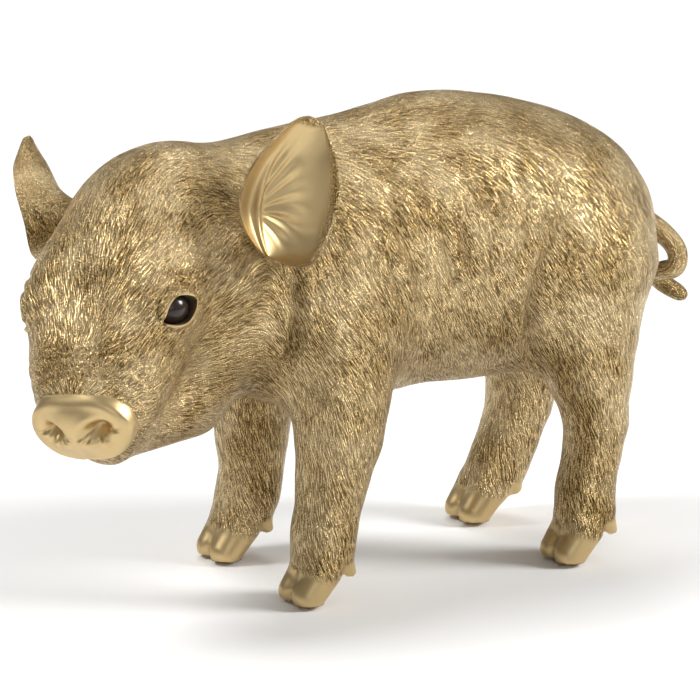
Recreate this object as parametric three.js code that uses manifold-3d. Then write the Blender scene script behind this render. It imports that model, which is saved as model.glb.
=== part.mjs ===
// A standing piglet coin bank. One hollow cored iron casting makes the head, trunk and legs. The ears and
// the curled tail are cast apart and seated on studs, the eyes are glass beads in round sockets, a rubber
// stopper closes the emptying hole in the belly, and a felt pad lies under each hoof.
// Millimetres, +X to the front, +Y to the animal's left, +Z up, the floor at z = 0.
import * as THREE from 'three';
import { mergeVertices } from 'three/addons/utils/BufferGeometryUtils.js';
import Module from 'manifold-3d';

const wasm = await Module();
wasm.setup();

// Driving dimensions.
const WALL = 5;
const GAP = 0.35;
const PAD_THICKNESS = 1.5;
const SOLE = PAD_THICKNESS + GAP;
const CORE_FLOOR = 86;
const SHELL_CELL = 7;
const CORE_CELL = 12;
const SLOT = { length: 38, width: 5, x: -14, y: -21 };
const HOLE = { x: 2, radius: 17, boss: 24, bossTop: 88, seat: 80, seatRadius: 20 };
const STOPPER = { play: 0.6, lip: 3, rib: 1.2, ribPitch: 4, recess: 9, recessDepth: 4, pull: 5 };
const HEAD = { at: [148, 27, 129], turn: 36, nod: 25, tilt: 10 };
const EYE = { at: [-2.5, 28.5, 0.5], radius: 7.4 };
const EAR = {
  width: 22,
  cup: 14,
  fold: 5,
  thickness: 3.2,
  knob: { radius: 8, at: [0, -8.5, 13] },
  stud: [0, -3.2, 13],
  left: { root: [-48, 52, -9], tip: [-85, 69, 30.5], facing: [0.6, 0.75, 0.1], front: 1 },
  right: { root: [-47, -45, -9], tip: [-82.5, -63.8, 26.7], facing: [0.25, -0.96, -0.12], front: -1 },
};
const SNOUT = { at: [41, 0, -20.5], width: 44, height: 35, thickness: 9, nostril: [10, 2] };
const STUD = { radius: 4.5, length: 26 };
const SIDES = [['left', 1], ['right', -1]];

// --- Signed distances, negative inside -------------------------------------------------------------------

const vector = (place) => new THREE.Vector3(...place);

function ball(centre, radii) {
  const middle = vector(centre);
  return (point) => {
    const x = (point.x - middle.x) / radii[0];
    const y = (point.y - middle.y) / radii[1];
    const z = (point.z - middle.z) / radii[2];
    const reach = Math.hypot(x, y, z);
    const slope = Math.hypot(x / radii[0], y / radii[1], z / radii[2]);
    return slope > 0 ? (reach * (reach - 1)) / slope : -Math.min(...radii);
  };
}

function limb(start, startRadius, end, endRadius) {
  const from = vector(start);
  const along = vector(end).sub(from);
  const offset = new THREE.Vector3();
  return (point) => {
    const share = offset.copy(point).sub(from).dot(along) / along.lengthSq();
    const clamped = THREE.MathUtils.clamp(share, 0, 1);
    const radius = THREE.MathUtils.lerp(startRadius, endRadius, clamped);
    return offset.addScaledVector(along, -clamped).length() - radius;
  };
}

// Joins fields with a fillet of the given size.
function blend(size, ...fields) {
  return (point) => fields.map((field) => field(point)).reduce((a, b) => {
    const near = Math.max(size - Math.abs(a - b), 0) / size;
    return Math.min(a, b) - (near * near * size) / 4;
  });
}

// The same field, read in a part's own frame.
function placed(matrix, field) {
  const inverse = matrix.clone().invert();
  const local = new THREE.Vector3();
  return (point) => field(local.copy(point).applyMatrix4(inverse));
}

// A chain of tapered limbs through [x, y, z, radius] stations.
const chain = (size, stations) => blend(size, ...stations.slice(1).map((end, i) => {
  const start = stations[i];
  return limb(start.slice(0, 3), start[3], end.slice(0, 3), end[3]);
}));

// --- The animal's form -----------------------------------------------------------------------------------

const headFrame = new THREE.Matrix4().compose(
  vector(HEAD.at),
  new THREE.Quaternion().setFromEuler(new THREE.Euler(
    THREE.MathUtils.degToRad(HEAD.tilt),
    THREE.MathUtils.degToRad(HEAD.nod),
    THREE.MathUtils.degToRad(HEAD.turn),
    'ZYX',
  )),
  new THREE.Vector3(1, 1, 1),
);

const trunk = blend(
  22,
  ball([40, 0, 127], [56, 47, 56]),
  ball([-14, 0, 133], [64, 49, 59]),
  ball([-58, 0, 127], [56, 46, 51]),
  limb([50, 0, 132], 44, [98, -2, 146], 38),
);

// In the head's frame: +X to the snout, +Y to the animal's left, +Z to the crown.
const head = placed(headFrame, blend(
  13,
  ball([-41, 0, -5], [43, 38, 37]),
  ball([-44, 17, -29], [36, 25, 34]),
  ball([-44, -17, -29], [36, 25, 34]),
  ball([-9, 23, 3], [19, 13, 15]),
  ball([-9, -23, 3], [19, 13, 15]),
  limb([-14, 0, -12], 27, [32, 0, -21], 17),
  ball([23, 0, -21], [21, 23.5, 17]),
  limb([-22, 0, -53], 24, [29, 0, -40], 9),
));

const LEGS = {
  left_front: {
    flesh: [
      [44, 30, 108, 25], [46, 35, 84, 19], [48, 37, 67, 16.5], [51, 37, 50, 13.5],
      [53, 37, 38, 11.6], [55, 37, 28, 11.8], [58, 37, 18, 10.6],
    ],
    hoof: [61, 37],
  },
  right_front: {
    flesh: [
      [44, -28, 108, 25], [47, -31, 84, 19], [48, -33, 66, 16], [48, -34, 49, 13.5],
      [48, -34, 36, 11.4], [50, -34, 26, 11.6], [55, -34, 17, 10.4],
    ],
    hoof: [59, -34],
  },
  left_hind: {
    flesh: [
      [-69, 24, 116, 32], [-68, 31, 92, 22], [-69, 36, 75, 15.6], [-71, 37, 57, 12],
      [-69, 37, 43, 10.6], [-66, 37, 30, 10.6], [-63, 37, 19, 10.2],
    ],
    hoof: [-60, 37],
  },
  right_hind: {
    flesh: [
      [-66, -24, 118, 31], [-71, -30, 86, 20], [-78, -33, 62, 14.6], [-76, -33, 47, 12.4],
      [-71, -33, 33, 11.2], [-66, -33, 22, 11], [-60, -33, 14, 10],
    ],
    hoof: [-56, -33],
  },
};

function leg({ flesh, hoof }) {
  const [x, y] = hoof;
  const toe = (side) => limb([x - 3, y + side * 5.2, 14], 7.6, [x + 4, y + side * 5.4, 4.5], 6.6);
  const dewclaw = (side) => limb([x - 8, y + side * 6, 24], 5, [x - 13, y + side * 7, 14.5], 3.6);
  return blend(4, chain(6, flesh), toe(1), toe(-1), dewclaw(1), dewclaw(-1));
}

const legs = Object.values(LEGS).map(leg);
const piglet = blend(13, blend(18, trunk, head), ...legs);

// The sand core leaves the wall, a solid foot to every leg, and a boss around the emptying hole.
const boss = (point) => Math.max(
  Math.hypot(point.x - HOLE.x, point.y) - HOLE.boss,
  point.z - HOLE.bossTop,
);
const core = (point) => Math.max(
  piglet(point) + WALL,
  CORE_FLOOR - point.z,
  -boss(point),
);

// --- Meshing a field -------------------------------------------------------------------------------------

// Surface nets: one vertex in each cell that the surface crosses, settled onto the surface, and one quad
// around each grid edge that it cuts.
function skin(field, box, cell) {
  const size = box.getSize(new THREE.Vector3());
  const counts = size.toArray().map((length) => Math.ceil(length / cell) + 1);
  const stride = [1, counts[0], counts[0] * counts[1]];
  const corner = (i, j, k) => i + j * stride[1] + k * stride[2];
  const place = (i, j, k) => new THREE.Vector3(i, j, k).multiplyScalar(cell).add(box.min);
  const values = new Float64Array(counts[0] * counts[1] * counts[2]);
  forEachCell(counts, (i, j, k) => {
    values[corner(i, j, k)] = field(place(i, j, k));
  });
  closePinches(values, counts, stride);
  const positions = [];
  const vertexOf = new Map();
  forEachCell(counts.map((count) => count - 1), (i, j, k) => {
    const crossing = cellCrossing(values, corner(i, j, k), stride);
    if (crossing) {
      vertexOf.set(corner(i, j, k), positions.length / 3);
      const spot = place(i, j, k).addScaledVector(crossing, cell);
      positions.push(...settle(field, spot, cell).toArray());
    }
  });
  const faces = [];
  forEachCell(counts, (i, j, k) => {
    const here = corner(i, j, k);
    for (let axis = 0; axis < 3; axis += 1) {
      const there = here + stride[axis];
      if ([i, j, k][axis] < counts[axis] - 1 && values[here] < 0 !== values[there] < 0) {
        const a = stride[(axis + 1) % 3];
        const b = stride[(axis + 2) % 3];
        const quad = [here - a - b, here - b, here, here - a].map((key) => vertexOf.get(key));
        pushQuad(faces, positions, values[here] < 0 ? quad : quad.reverse());
      }
    }
  });
  const geometry = new THREE.BufferGeometry();
  geometry.setAttribute('position', new THREE.Float32BufferAttribute(positions, 3));
  geometry.setIndex(faces);
  return geometry;
}

function forEachCell(counts, visit) {
  for (let k = 0; k < counts[2]; k += 1) {
    for (let j = 0; j < counts[1]; j += 1) {
      for (let i = 0; i < counts[0]; i += 1) {
        visit(i, j, k);
      }
    }
  }
}

// Fills a corner wherever only the diagonal corners of a grid face lie inside, which would pinch the skin.
function closePinches(values, counts, stride) {
  forEachCell(counts.map((count) => count - 1), (i, j, k) => {
    const here = i + j * stride[1] + k * stride[2];
    for (let axis = 0; axis < 3; axis += 1) {
      const a = here + stride[(axis + 1) % 3];
      const b = here + stride[(axis + 2) % 3];
      const far = a + b - here;
      const inside = [here, a, b, far].map((key) => values[key] < 0);
      if (inside[0] === inside[3] && inside[1] === inside[2] && inside[0] !== inside[1]) {
        const outer = inside[0] ? [a, b] : [here, far];
        values[values[outer[0]] < values[outer[1]] ? outer[0] : outer[1]] = -1e-3;
      }
    }
  });
}

// The mean of the points where the surface cuts a cell's twelve edges, from 0 to 1 along each axis.
function cellCrossing(values, base, stride) {
  const mean = new THREE.Vector3();
  let cuts = 0;
  for (let axis = 0; axis < 3; axis += 1) {
    for (const [s, t] of [[0, 0], [1, 0], [0, 1], [1, 1]]) {
      const start = [0, 0, 0];
      start[(axis + 1) % 3] = s;
      start[(axis + 2) % 3] = t;
      const from = base + start[0] * stride[0] + start[1] * stride[1] + start[2] * stride[2];
      const low = values[from];
      const high = values[from + stride[axis]];
      if (low < 0 !== high < 0) {
        start[axis] = low / (low - high);
        mean.add(vector(start));
        cuts += 1;
      }
    }
  }
  return cuts > 0 ? mean.divideScalar(cuts) : null;
}

// Moves a point down the field's slope onto the surface, by no more than a third of a cell.
function settle(field, spot, cell) {
  const settled = spot.clone();
  const step = 0.05;
  for (let pass = 0; pass < 3; pass += 1) {
    const value = field(settled);
    const slope = vector(['x', 'y', 'z'].map((axis) => {
      const beside = settled.clone();
      beside[axis] += step;
      return (field(beside) - value) / step;
    }));
    settled.addScaledVector(slope, -value / Math.max(slope.lengthSq(), 0.2));
  }
  return spot.add(settled.sub(spot).clampLength(0, cell / 3));
}

function pushQuad(faces, positions, [a, b, c, d]) {
  const at = (index) => new THREE.Vector3().fromArray(positions, index * 3);
  const shortSide = at(a).distanceTo(at(c)) < at(b).distanceTo(at(d));
  faces.push(...(shortSide ? [a, b, c, a, c, d] : [b, c, d, b, d, a]));
}

// --- Solids ----------------------------------------------------------------------------------------------

function solid(geometry) {
  const bare = geometry.clone();
  bare.deleteAttribute('normal');
  bare.deleteAttribute('uv');
  const merged = mergeVertices(bare, 1e-4);
  return new wasm.Manifold(new wasm.Mesh({
    numProp: 3,
    vertProperties: new Float32Array(merged.attributes.position.array),
    triVerts: new Uint32Array(merged.index.array),
  }));
}

function geometryOf(manifold) {
  const mesh = manifold.getMesh();
  const geometry = new THREE.BufferGeometry();
  geometry.setAttribute('position', new THREE.BufferAttribute(mesh.vertProperties, 3));
  geometry.setIndex(new THREE.BufferAttribute(mesh.triVerts, 1));
  const flat = geometry.toNonIndexed();
  flat.computeVertexNormals();
  return flat;
}

const box = (min, max) => new THREE.Box3(vector(min), vector(max));

function block(min, max) {
  const size = vector(max).sub(vector(min));
  const centre = vector(min).add(vector(max)).multiplyScalar(0.5);
  return new THREE.BoxGeometry(size.x, size.y, size.z).translate(centre.x, centre.y, centre.z);
}

// A round bar between two points.
function bar(start, end, radius, sides = 24) {
  const along = end.clone().sub(start);
  const geometry = new THREE.CylinderGeometry(radius, radius, along.length(), sides);
  geometry.translate(0, along.length() / 2, 0);
  geometry.applyQuaternion(new THREE.Quaternion().setFromUnitVectors(
    new THREE.Vector3(0, 1, 0),
    along.normalize(),
  ));
  return geometry.translate(start.x, start.y, start.z);
}

const discOnBelly = (radius, low, high, sides = 32) => bar(
  new THREE.Vector3(HOLE.x, 0, low),
  new THREE.Vector3(HOLE.x, 0, high),
  radius,
  sides,
);

const sideways = (place, side) => [place[0], place[1] * side, place[2]];
const inHead = (place) => vector(place).applyMatrix4(headFrame);

// --- Snout -----------------------------------------------------------------------------------------------

// The disc's section, from its back to its dished front, as shares of its radius and thickness.
const SNOUT_SECTION = [
  [0, -0.5], [0.86, -0.5], [0.95, -0.2], [1, 0.1], [0.97, 0.36], [0.88, 0.5], [0.7, 0.44], [0, 0.38],
];

function snoutDisc() {
  const section = SNOUT_SECTION.map(([out, front]) => new THREE.Vector2(out, front * SNOUT.thickness));
  const disc = new THREE.LatheGeometry(section, 32);
  disc.scale(SNOUT.width / 2, 1, SNOUT.height / 2);
  disc.rotateZ(-Math.PI / 2).translate(...SNOUT.at);
  return disc.applyMatrix4(headFrame);
}

function nostril(side) {
  const [out, up] = SNOUT.nostril;
  const start = inHead([SNOUT.at[0] - 3, side * out * 0.9, SNOUT.at[2] + up]);
  const end = inHead([SNOUT.at[0] + 8, side * out, SNOUT.at[2] + up]);
  return bar(start, end, 3, 14);
}

// --- Ears ------------------------------------------------------------------------------------------------

// The ear's own frame: the origin at its lower edge, +Z to the tip, +Y out of the cup's mouth.
function earFrame(name) {
  const root = inHead(EAR[name].root);
  const up = inHead(EAR[name].tip).sub(root).normalize();
  const mouth = inHead(EAR[name].facing).sub(inHead([0, 0, 0]));
  const across = new THREE.Vector3().crossVectors(mouth, up).normalize();
  const frame = new THREE.Matrix4().makeBasis(across, new THREE.Vector3().crossVectors(up, across), up);
  return frame.setPosition(root);
}

// A leaf-shaped sheet, bent into a cup that closes below, flattens towards a rounded tip and turns in along
// its front edge.
function earLeaf(name) {
  const length = vector(EAR[name].tip).distanceTo(vector(EAR[name].root));
  const leaf = new THREE.BoxGeometry(2, 1, 1, 10, 1, 12);
  const points = leaf.attributes.position;
  for (let i = 0; i < points.count; i += 1) {
    const across = points.getX(i);
    const share = points.getZ(i) + 0.5;
    const sheet = points.getY(i) * EAR.thickness * (1 - 0.35 * Math.abs(across));
    const half = EAR.width * (0.06 + 0.94 * Math.sin(Math.PI * share ** 0.62) ** 0.75);
    const bowl = 9 * Math.max(1 - share / 0.3, 0) ** 2;
    const turnedIn = Math.max(across * EAR[name].front, 0);
    const cup = EAR.cup * (1 - 0.5 * share) * (across * across - 0.35);
    const fold = EAR.fold * (1 - share) * turnedIn ** 3;
    points.setXYZ(i, half * across * (1 - 0.22 * turnedIn ** 2), cup + fold + bowl + sheet, length * share);
  }
  return leaf;
}

// The stud runs inwards from the leaf, through the thick knob behind it.
function earStud(name, radius, length) {
  const [x, , z] = EAR[name].root;
  const leaf = vector(EAR.stud).applyMatrix4(earFrame(name));
  const aim = inHead([x + 1, 0, z + 5]).sub(leaf).normalize();
  return bar(leaf.clone().addScaledVector(aim, length), leaf, radius, 16);
}

// --- Tail ------------------------------------------------------------------------------------------------

const tailPath = [
  [-106, -4, 127, 6], [-117, -4, 124, 5.2], [-123, 2, 119.5, 4.4], [-125, 9, 114, 4.2],
  [-123.5, 11, 108, 4.1], [-121, 5, 105, 4], [-121.5, -1, 102.5, 3.9], [-124, -1, 98.5, 3.8],
  [-127.5, 4, 95.5, 3.5], [-130, 9, 93.5, 3],
];
const tail = chain(2, tailPath);
// The tail's stud runs forward from its root into the rump.
const tailStud = (radius, length) => bar(
  new THREE.Vector3(-114 + length, -4, 126),
  new THREE.Vector3(-114, -4, 126),
  radius,
  16,
);

// --- Assembly --------------------------------------------------------------------------------------------

const piggyBox = box([-134, -62, -8], [200, 64, 204]);
const outside = solid(skin(piglet, piggyBox, SHELL_CELL));
const swollen = solid(skin((point) => piglet(point) - GAP, piggyBox, SHELL_CELL));

function shell() {
  const slot = block(
    [SLOT.x - SLOT.length / 2, SLOT.y - SLOT.width / 2, 150],
    [SLOT.x + SLOT.length / 2, SLOT.y + SLOT.width / 2, 204],
  );
  const cuts = [
    skin(core, box([-120, -60, 60], [190, 60, 200]), CORE_CELL),
    slot,
    discOnBelly(HOLE.radius, 60, HOLE.bossTop + 8),
    discOnBelly(HOLE.seatRadius, 60, HOLE.seat),
    block([-140, -70, -20], [200, 70, SOLE]),
    tailStud(STUD.radius - 0.5 + GAP, STUD.length - 14 + 1),
  ];
  for (const [name, side] of SIDES) {
    cuts.push(nostril(side));
    cuts.push(earStud(name, STUD.radius + GAP, STUD.length + 1));
    const eye = inHead(sideways(EYE.at, side));
    cuts.push(new THREE.SphereGeometry(EYE.radius + GAP, 18, 12).translate(eye.x, eye.y, eye.z));
  }
  return cuts.reduce((body, cut) => body.subtract(solid(cut)), outside.add(solid(snoutDisc())));
}

function ear(name) {
  const knob = new THREE.SphereGeometry(EAR.knob.radius, 14, 9).translate(...EAR.knob.at);
  return solid(earLeaf(name).applyMatrix4(earFrame(name)))
    .add(solid(knob.applyMatrix4(earFrame(name))))
    .subtract(swollen)
    .add(solid(earStud(name, STUD.radius, STUD.length)));
}

function tailCasting() {
  return solid(skin(tail, box([-140, -16, 84], [-94, 22, 140]), 2.6))
    .subtract(swollen)
    .add(solid(tailStud(STUD.radius - 0.5, STUD.length - 14)));
}

// The stopper: a lip that fills the seat, a ribbed neck, and a pull bar across a finger recess.
function stopper() {
  const lip = HOLE.seatRadius - STOPPER.play;
  const rib = HOLE.radius - GAP;
  const groove = rib - STOPPER.rib;
  const shoulder = HOLE.seat - GAP;
  const low = shoulder - STOPPER.lip;
  const top = HOLE.bossTop + STOPPER.ribPitch + 1;
  const profile = [[0, low], [lip - 1, low], [lip, low + 1], [lip, shoulder], [rib - 0.4, shoulder]];
  for (let z = shoulder + 2; z < HOLE.bossTop; z += STOPPER.ribPitch) {
    profile.push([groove, z], [rib, z + 1], [rib, z + 2.4]);
  }
  profile.push([groove - 2, top], [0, top]);
  const spun = new THREE.LatheGeometry(profile.map(([x, y]) => new THREE.Vector2(x, y)), 28);
  spun.rotateX(Math.PI / 2).translate(HOLE.x, 0, 0);
  const recess = solid(discOnBelly(STOPPER.recess, low - 1, low + STOPPER.recessDepth, 20));
  const pull = solid(block(
    [HOLE.x - STOPPER.recess - 1, -STOPPER.pull / 2, low],
    [HOLE.x + STOPPER.recess + 1, STOPPER.pull / 2, low + STOPPER.recessDepth + 1],
  ));
  return solid(spun).subtract(recess.subtract(pull));
}

const MATERIALS = {
  castGold: { color: 0xb8975a, roughness: 0.38, metalness: 0.9 },
  glass: { color: 0x120c08, roughness: 0.06, metalness: 0 },
  rubber: { color: 0x2a2724, roughness: 0.85, metalness: 0 },
  felt: { color: 0x54452f, roughness: 0.95, metalness: 0 },
};

const bank = new THREE.Group();

function addPiece(name, geometry, look) {
  const piece = new THREE.Mesh(geometry, new THREE.MeshStandardMaterial(MATERIALS[look]));
  piece.name = name;
  bank.add(piece);
}

addPiece('body_casting', geometryOf(shell()), 'castGold');
addPiece('tail', geometryOf(tailCasting()), 'castGold');
addPiece('belly_stopper', geometryOf(stopper()), 'rubber');
for (const [name, side] of SIDES) {
  addPiece(`${name}_ear`, geometryOf(ear(name)), 'castGold');
  const eye = inHead(sideways(EYE.at, side));
  const bead = new THREE.SphereGeometry(EYE.radius, 16, 10).translate(eye.x, eye.y, eye.z);
  addPiece(`${name}_eye`, bead, 'glass');
}
for (const [name, { hoof }] of Object.entries(LEGS)) {
  const pad = new THREE.CylinderGeometry(6.5, 6.5, PAD_THICKNESS, 20);
  pad.rotateX(Math.PI / 2).translate(hoof[0] + 1, hoof[1], PAD_THICKNESS / 2);
  addPiece(`${name}_pad`, pad, 'felt');
}

// The origin lies on the floor under the middle of the whole bank.
const middle = new THREE.Box3().setFromObject(bank).getCenter(new THREE.Vector3());
bank.position.set(-middle.x, -middle.y, 0);

export default bank;
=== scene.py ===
"""A gilded cast piglet coin bank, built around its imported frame.

The animal is worked in millimetres in its own frame, +X to the front, +Y to its left, +Z up, and each
finished piece is brought to the frame's metres at the end.
"""
import math

import bmesh
import bpy
import numpy as np
from mathutils import Euler, Matrix, Vector, noise


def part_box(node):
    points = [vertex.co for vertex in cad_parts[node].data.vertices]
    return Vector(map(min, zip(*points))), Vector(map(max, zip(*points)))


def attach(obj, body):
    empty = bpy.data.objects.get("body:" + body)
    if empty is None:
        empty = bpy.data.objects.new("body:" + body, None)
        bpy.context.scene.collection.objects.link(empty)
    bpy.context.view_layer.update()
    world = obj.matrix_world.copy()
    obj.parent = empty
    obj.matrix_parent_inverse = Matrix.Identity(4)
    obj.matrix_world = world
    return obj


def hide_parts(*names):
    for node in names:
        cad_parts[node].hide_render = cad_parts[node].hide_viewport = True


bl_info = {
    "name": "Cast Piglet Bank",
    "version": (1, 0, 0),
    "blender": (4, 5, 0),
    "location": "3D View > Sidebar > Piglet Bank",
    "description": "Builds a gilded cast piglet coin bank around its packed frame",
    "category": "Object",
}

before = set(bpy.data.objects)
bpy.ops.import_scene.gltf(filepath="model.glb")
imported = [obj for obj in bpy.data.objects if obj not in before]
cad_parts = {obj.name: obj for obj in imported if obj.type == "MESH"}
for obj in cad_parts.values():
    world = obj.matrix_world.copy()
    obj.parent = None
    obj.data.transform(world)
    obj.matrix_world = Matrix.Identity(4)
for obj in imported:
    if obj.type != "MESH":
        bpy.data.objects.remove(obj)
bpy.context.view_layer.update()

MM = 0.001
SIDES = (("left", 1), ("right", -1))


def box_of(node):
    """A node's corners in millimetres."""
    low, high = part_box(node)
    return np.array(low) / MM, np.array(high) / MM


# --- The animal's measures, in millimetres -------------------------------------------------------------

STOPPER_X = 2.0
STOPPER_LOW, STOPPER_HIGH = box_of("belly_stopper")
# From the animal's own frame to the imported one.
SHIFT = np.array([*((STOPPER_LOW + STOPPER_HIGH) / 2 - (STOPPER_X, 0, 0))[:2], 0.0])

WALL = 5.0
SOLE = 1.85
CORE_FLOOR = 86.0
SLOT = {"length": 38.0, "width": 5.0, "x": -14.0, "y": -21.0}
HOLE = {"radius": 17.0, "boss_top": 88.0, "seat": 80.0, "seat_radius": 20.0}

HEAD_PLACE = np.array([148.0, 27.0, 129.0])
HEAD_TURN = Euler([math.radians(angle) for angle in (10, 25, 36)], "XYZ").to_matrix()
HEAD_AXES = np.array(HEAD_TURN)
HEAD_MATRIX = Matrix.Translation(HEAD_PLACE) @ HEAD_TURN.to_4x4()

# Each lump is a ball (centre, radii) or a limb (start, radius, end, radius). The head's are in its own frame.
TRUNK = (
    ("ball", (40, 0, 127), (56, 47, 56)),
    ("ball", (-14, 0, 133), (64, 49, 59)),
    ("ball", (-58, 0, 127), (56, 46, 51)),
    ("limb", (50, 0, 132), 44, (98, -2, 146), 38),
)
HEAD = (
    ("ball", (-41, 0, -5), (43, 38, 37)),  # skull
    ("ball", (-44, 17, -29), (36, 25, 34)),  # jowls
    ("ball", (-44, -17, -29), (36, 25, 34)),
    ("ball", (-13, 24, 2), (23, 14, 17)),  # brows
    ("ball", (-13, -24, 2), (23, 14, 17)),
    ("ball", (9, 17, -7), (20, 12, 15)),  # muzzle, beside its ridge
    ("ball", (9, -17, -7), (20, 12, 15)),
    ("ball", (-38, 38, -8), (11, 9, 11)),  # ear roots
    ("ball", (-38, -36, -8), (11, 9, 11)),
    ("limb", (-14, 0, -12), 27, (32, 0, -21), 18),
    ("ball", (19, 0, -20), (24, 25, 18.5)),
    ("limb", (-22, 0, -53), 24, (29, 0, -40), 9),
)
LEGS = {
    "left_front": {
        "flesh": (
            (44, 30, 108, 25), (46, 35, 84, 19), (48, 37, 67, 16.5), (51, 37, 50, 13.5),
            (53, 37, 38, 11.6), (55, 37, 28, 11.8), (58, 37, 18, 10.6),
        ),
        "hoof": (61, 37),
    },
    "right_front": {
        "flesh": (
            (44, -28, 108, 25), (46, -31, 84, 19), (48, -33, 66, 16), (48, -34, 49, 13.5),
            (48, -34, 36, 11.4), (50, -34, 26, 11.6), (55, -34, 17, 10.4),
        ),
        "hoof": (59, -34),
    },
    "left_hind": {
        "flesh": (
            (-69, 24, 116, 32), (-68, 31, 92, 22), (-69, 36, 75, 15.6), (-71, 37, 57, 12),
            (-69, 37, 43, 10.6), (-66, 37, 30, 10.6), (-63, 37, 19, 10.2),
        ),
        "hoof": (-60, 37),
    },
    "right_hind": {
        "flesh": (
            (-66, -24, 118, 31), (-71, -30, 86, 20), (-78, -33, 62, 14.6), (-76, -33, 47, 12.4),
            (-71, -33, 33, 11.2), (-66, -33, 22, 11), (-60, -33, 14, 10),
        ),
        "hoof": (-56, -33),
    },
}
SNOUT = {
    "at": (41, 0, -22), "half_width": 22.2, "half_height": 16.2, "half_depth": 4.5, "edge": 3.0, "notch": 4.2,
}
NOSTRIL = {"out": 9.5, "up": 1.8, "half_width": 4.8, "half_height": 3.9, "depth": 7.0}

EYE_RADIUS = 7.4
LID_RADIUS = 8.8
EYE_OUT = (0.38, 0.88, 0.28)
EYE_CORNER = (-0.900, 0.422, -0.106)
EYE_HALF = (8.2, 5.6)
EYE_DROP = 1.2
IRIS_RADIUS = 6.2

EAR_FOLD = 5.0
EARS = {
    "left": {
        "root": (-46, 48.5, -8), "tip": (-84.8, 68.7, 30.0), "facing": (0.6, 0.75, 0.1), "front": 1,
        "half": 24.0, "bend": 3.0, "cup": 14.0, "bowl": 9.0,
    },
    "right": {
        "root": (-50, -41, -4), "tip": (-83, -63, 26), "facing": (0.38, -0.92, -0.07), "front": -1,
        "half": 20.5, "bend": 0.0, "cup": 10.0, "bowl": 3.0,
    },
}
TAIL = (
    (-98, -4, 127, 6.6), (-106, -4, 127, 6), (-117, -4, 124, 5.2), (-123, 2, 119.5, 4.4),
    (-125, 9, 114, 4.2), (-123.5, 11, 108, 4.1), (-121, 5, 105, 4), (-121.5, -1, 102.5, 3.9),
    (-124, -1, 98.5, 3.8), (-127.5, 4, 95.5, 3.5), (-130, 9, 93.5, 2.6),
)


def settings():
    return bpy.context.scene.piglet_bank


def row(x, y, z):
    return np.array([x, y, z], float)


def step_between(low, high, value):
    """0 below low, 1 above high, and a soft slope between."""
    share = np.clip((value - low) / (high - low), 0, 1)
    return share * share * (3 - 2 * share)


def unit(vectors):
    return vectors / np.maximum(np.linalg.norm(vectors, axis=-1, keepdims=True), 1e-9)


def in_head(points):
    """Animal places read in the head's frame: +X to the snout, +Y to the left, +Z to the crown."""
    return (points - HEAD_PLACE) @ HEAD_AXES


def from_head(points):
    return np.asarray(points, float) @ HEAD_AXES.T + HEAD_PLACE


def eye_place(side):
    low, high = box_of(f"{side}_eye")
    return (low + high) / 2 - SHIFT


def eye_axes(sign):
    """The eye's corner-to-corner, upward and outward directions, as rows in the animal's frame."""
    out = unit(row(EYE_OUT[0], sign * EYE_OUT[1], EYE_OUT[2]))
    corner = row(EYE_CORNER[0], sign * EYE_CORNER[1], EYE_CORNER[2])
    corner = unit(corner - out * (corner @ out))
    up = np.cross(out, corner) * sign
    if up[2] < 0:
        up = -up
    return np.array([corner, up, out]) @ HEAD_AXES.T


# --- Distances from the animal's form, negative inside -------------------------------------------------

def ball_distance(points, centre, radii):
    offset = (points - np.array(centre, float)) / radii
    reach = np.linalg.norm(offset, axis=1)
    slope = np.linalg.norm(offset / radii, axis=1)
    return reach * (reach - 1) / np.maximum(slope, 1e-9)


def limb_distance(points, start, start_radius, end, end_radius):
    start, end = np.array(start, float), np.array(end, float)
    along = end - start
    share = np.clip((points - start) @ along / (along @ along), 0, 1)
    radius = start_radius + (end_radius - start_radius) * share
    return np.linalg.norm(points - start - share[:, None] * along, axis=1) - radius


def blend(size, distances):
    """Joins distances with a fillet of the given size."""
    total = distances[0]
    for other in distances[1:]:
        near = np.maximum(size - np.abs(total - other), 0) / size
        total = np.minimum(total, other) - near * near * size / 4
    return total


def lumps_distance(size, lumps, points):
    measure = {"ball": ball_distance, "limb": limb_distance}
    return blend(size, [measure[lump[0]](points, *lump[1:]) for lump in lumps])


def flesh_limbs(flesh):
    return [("limb", a[:3], a[3], b[:3], b[3]) for a, b in zip(flesh, flesh[1:])]


def toe_limbs(leg):
    """Two toes on the ground and, behind them, two heels that end in dewclaws."""
    x, y = leg["hoof"]
    shank = leg["flesh"][-3][0]
    toes, heels, claws = [], [], []
    for side in (1, -1):
        pastern = (x - 10.5, y + side * 6.5, 22)
        toes.append(("limb", (x - 3, y + side * 5.2, 14), 7.6, (x + 4, y + side * 5.4, 4.5), 6.6))
        heels.append(("limb", (shank, y + side * 4, 36), 6, pastern, 5))
        claws.append(("limb", pastern, 4.6, (x - 14, y + side * 7.5, 13), 2.4))
    return toes + heels + claws


def leg_distance(leg, points):
    flesh = lumps_distance(6, flesh_limbs(leg["flesh"]), points)
    return blend(3, [flesh, lumps_distance(2.2, toe_limbs(leg), points)])


def snout_distance(points):
    """The flat rounded disc at the snout's end, with a notch under it, in the head's frame."""
    front, out, up = (points - SNOUT["at"]).T
    share = np.hypot(out / SNOUT["half_width"], up / SNOUT["half_height"])
    outline = (share - 1) * 20
    outline = outline + SNOUT["notch"] * np.exp(-((out / 2.6) ** 2)) * step_between(4, 14, -up)
    outline = outline + 1.2 * np.exp(-((out / 9.0) ** 2)) * step_between(6, 16, up)
    across = outline + SNOUT["edge"]
    along = np.abs(front) - SNOUT["half_depth"] + SNOUT["edge"]
    corner = np.hypot(np.maximum(across, 0), np.maximum(along, 0))
    return corner + np.minimum(np.maximum(across, along), 0) - SNOUT["edge"]


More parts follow.
